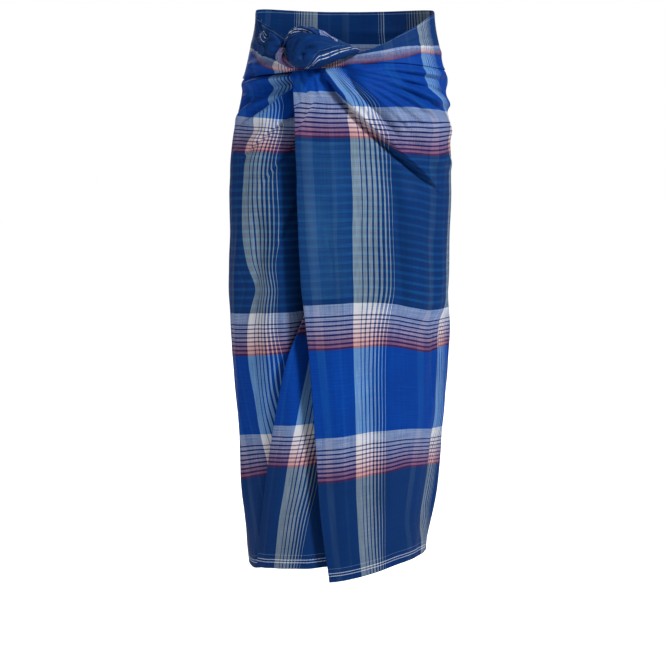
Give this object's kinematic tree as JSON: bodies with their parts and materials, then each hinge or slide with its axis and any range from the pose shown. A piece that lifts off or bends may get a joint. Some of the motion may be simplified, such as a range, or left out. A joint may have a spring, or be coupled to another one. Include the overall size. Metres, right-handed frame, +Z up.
{
  "type": "longyi sarong",
  "caption": "Tubular plaid cotton longyi in its worn, hollow shape, folded flat across the front over knife pleats and tied in a knot at the waist.",
  "frame": {"origin": "centre of the waist opening, at the height of the knot, where the wearer holds the garment up", "axes": "+Z up along the tube towards the waist, the front faces -Y, +X at the right of someone who looks at the front"},
  "size_m": [0.3877, 0.3029, 0.9697],
  "materials": {
    "plaid": "matte woven cotton, bright blue and navy plaid with grey, white and rust lines",
    "turned_edge": "matte navy cotton, the inner face of the turned hem and seam",
    "waist_band": "matte dark blue cotton with pale lines",
    "knot": "matte dark blue cotton"
  },
  "bodies": {
    "root": {"front_left_panel": "plaid", "front_left_panel_hem": "turned_edge", "inner_pleat": "plaid", "inner_pleat_hem": "turned_edge", "front_right_panel": "plaid", "front_right_panel_hem": "turned_edge", "back_right_panel": "plaid", "back_right_panel_hem": "turned_edge", "back_left_panel": "plaid", "back_left_panel_hem": "turned_edge", "seam_edge_right": "turned_edge", "seam_edge_left": "turned_edge", "waist_band_left": "waist_band", "waist_band_right": "waist_band", "waist_band_back": "waist_band", "knot_bulb": "knot", "knot_rim": "knot", "knot_twist": "knot", "knot_tail": "knot"}
  },
  "joints": []
}
